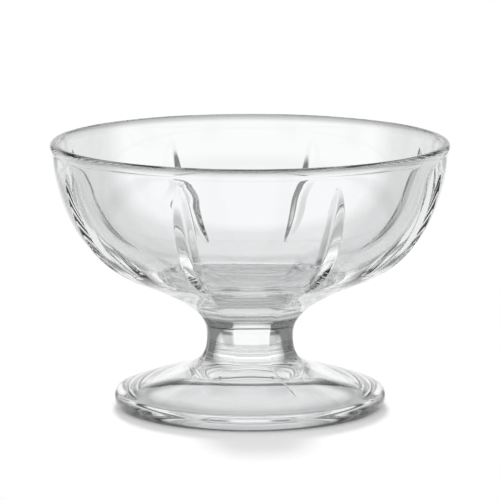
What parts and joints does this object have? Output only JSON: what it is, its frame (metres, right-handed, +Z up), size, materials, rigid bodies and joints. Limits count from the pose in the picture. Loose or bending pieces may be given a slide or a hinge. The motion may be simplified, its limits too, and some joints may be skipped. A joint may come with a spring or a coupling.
{
  "type": "ice cream coupe",
  "caption": "Clear footed dessert coupe: wide round bowl with pointed vertical grooves, short waisted faceted stem and round foot with a thick rounded edge. Holds ice cream or fruit.",
  "frame": {"origin": "middle of the plane that the foot stands on", "axes": "+Z up along the axis of the bowl, stem and foot; the middle of one panel faces -Y"},
  "size_m": [0.1098, 0.1098, 0.0738],
  "materials": {
    "clear_plastic": "polished, clear, very faintly grey-green where thick"
  },
  "bodies": {
    "root": {"bowl": "clear_plastic", "stem": "clear_plastic", "foot": "clear_plastic"}
  },
  "joints": []
}
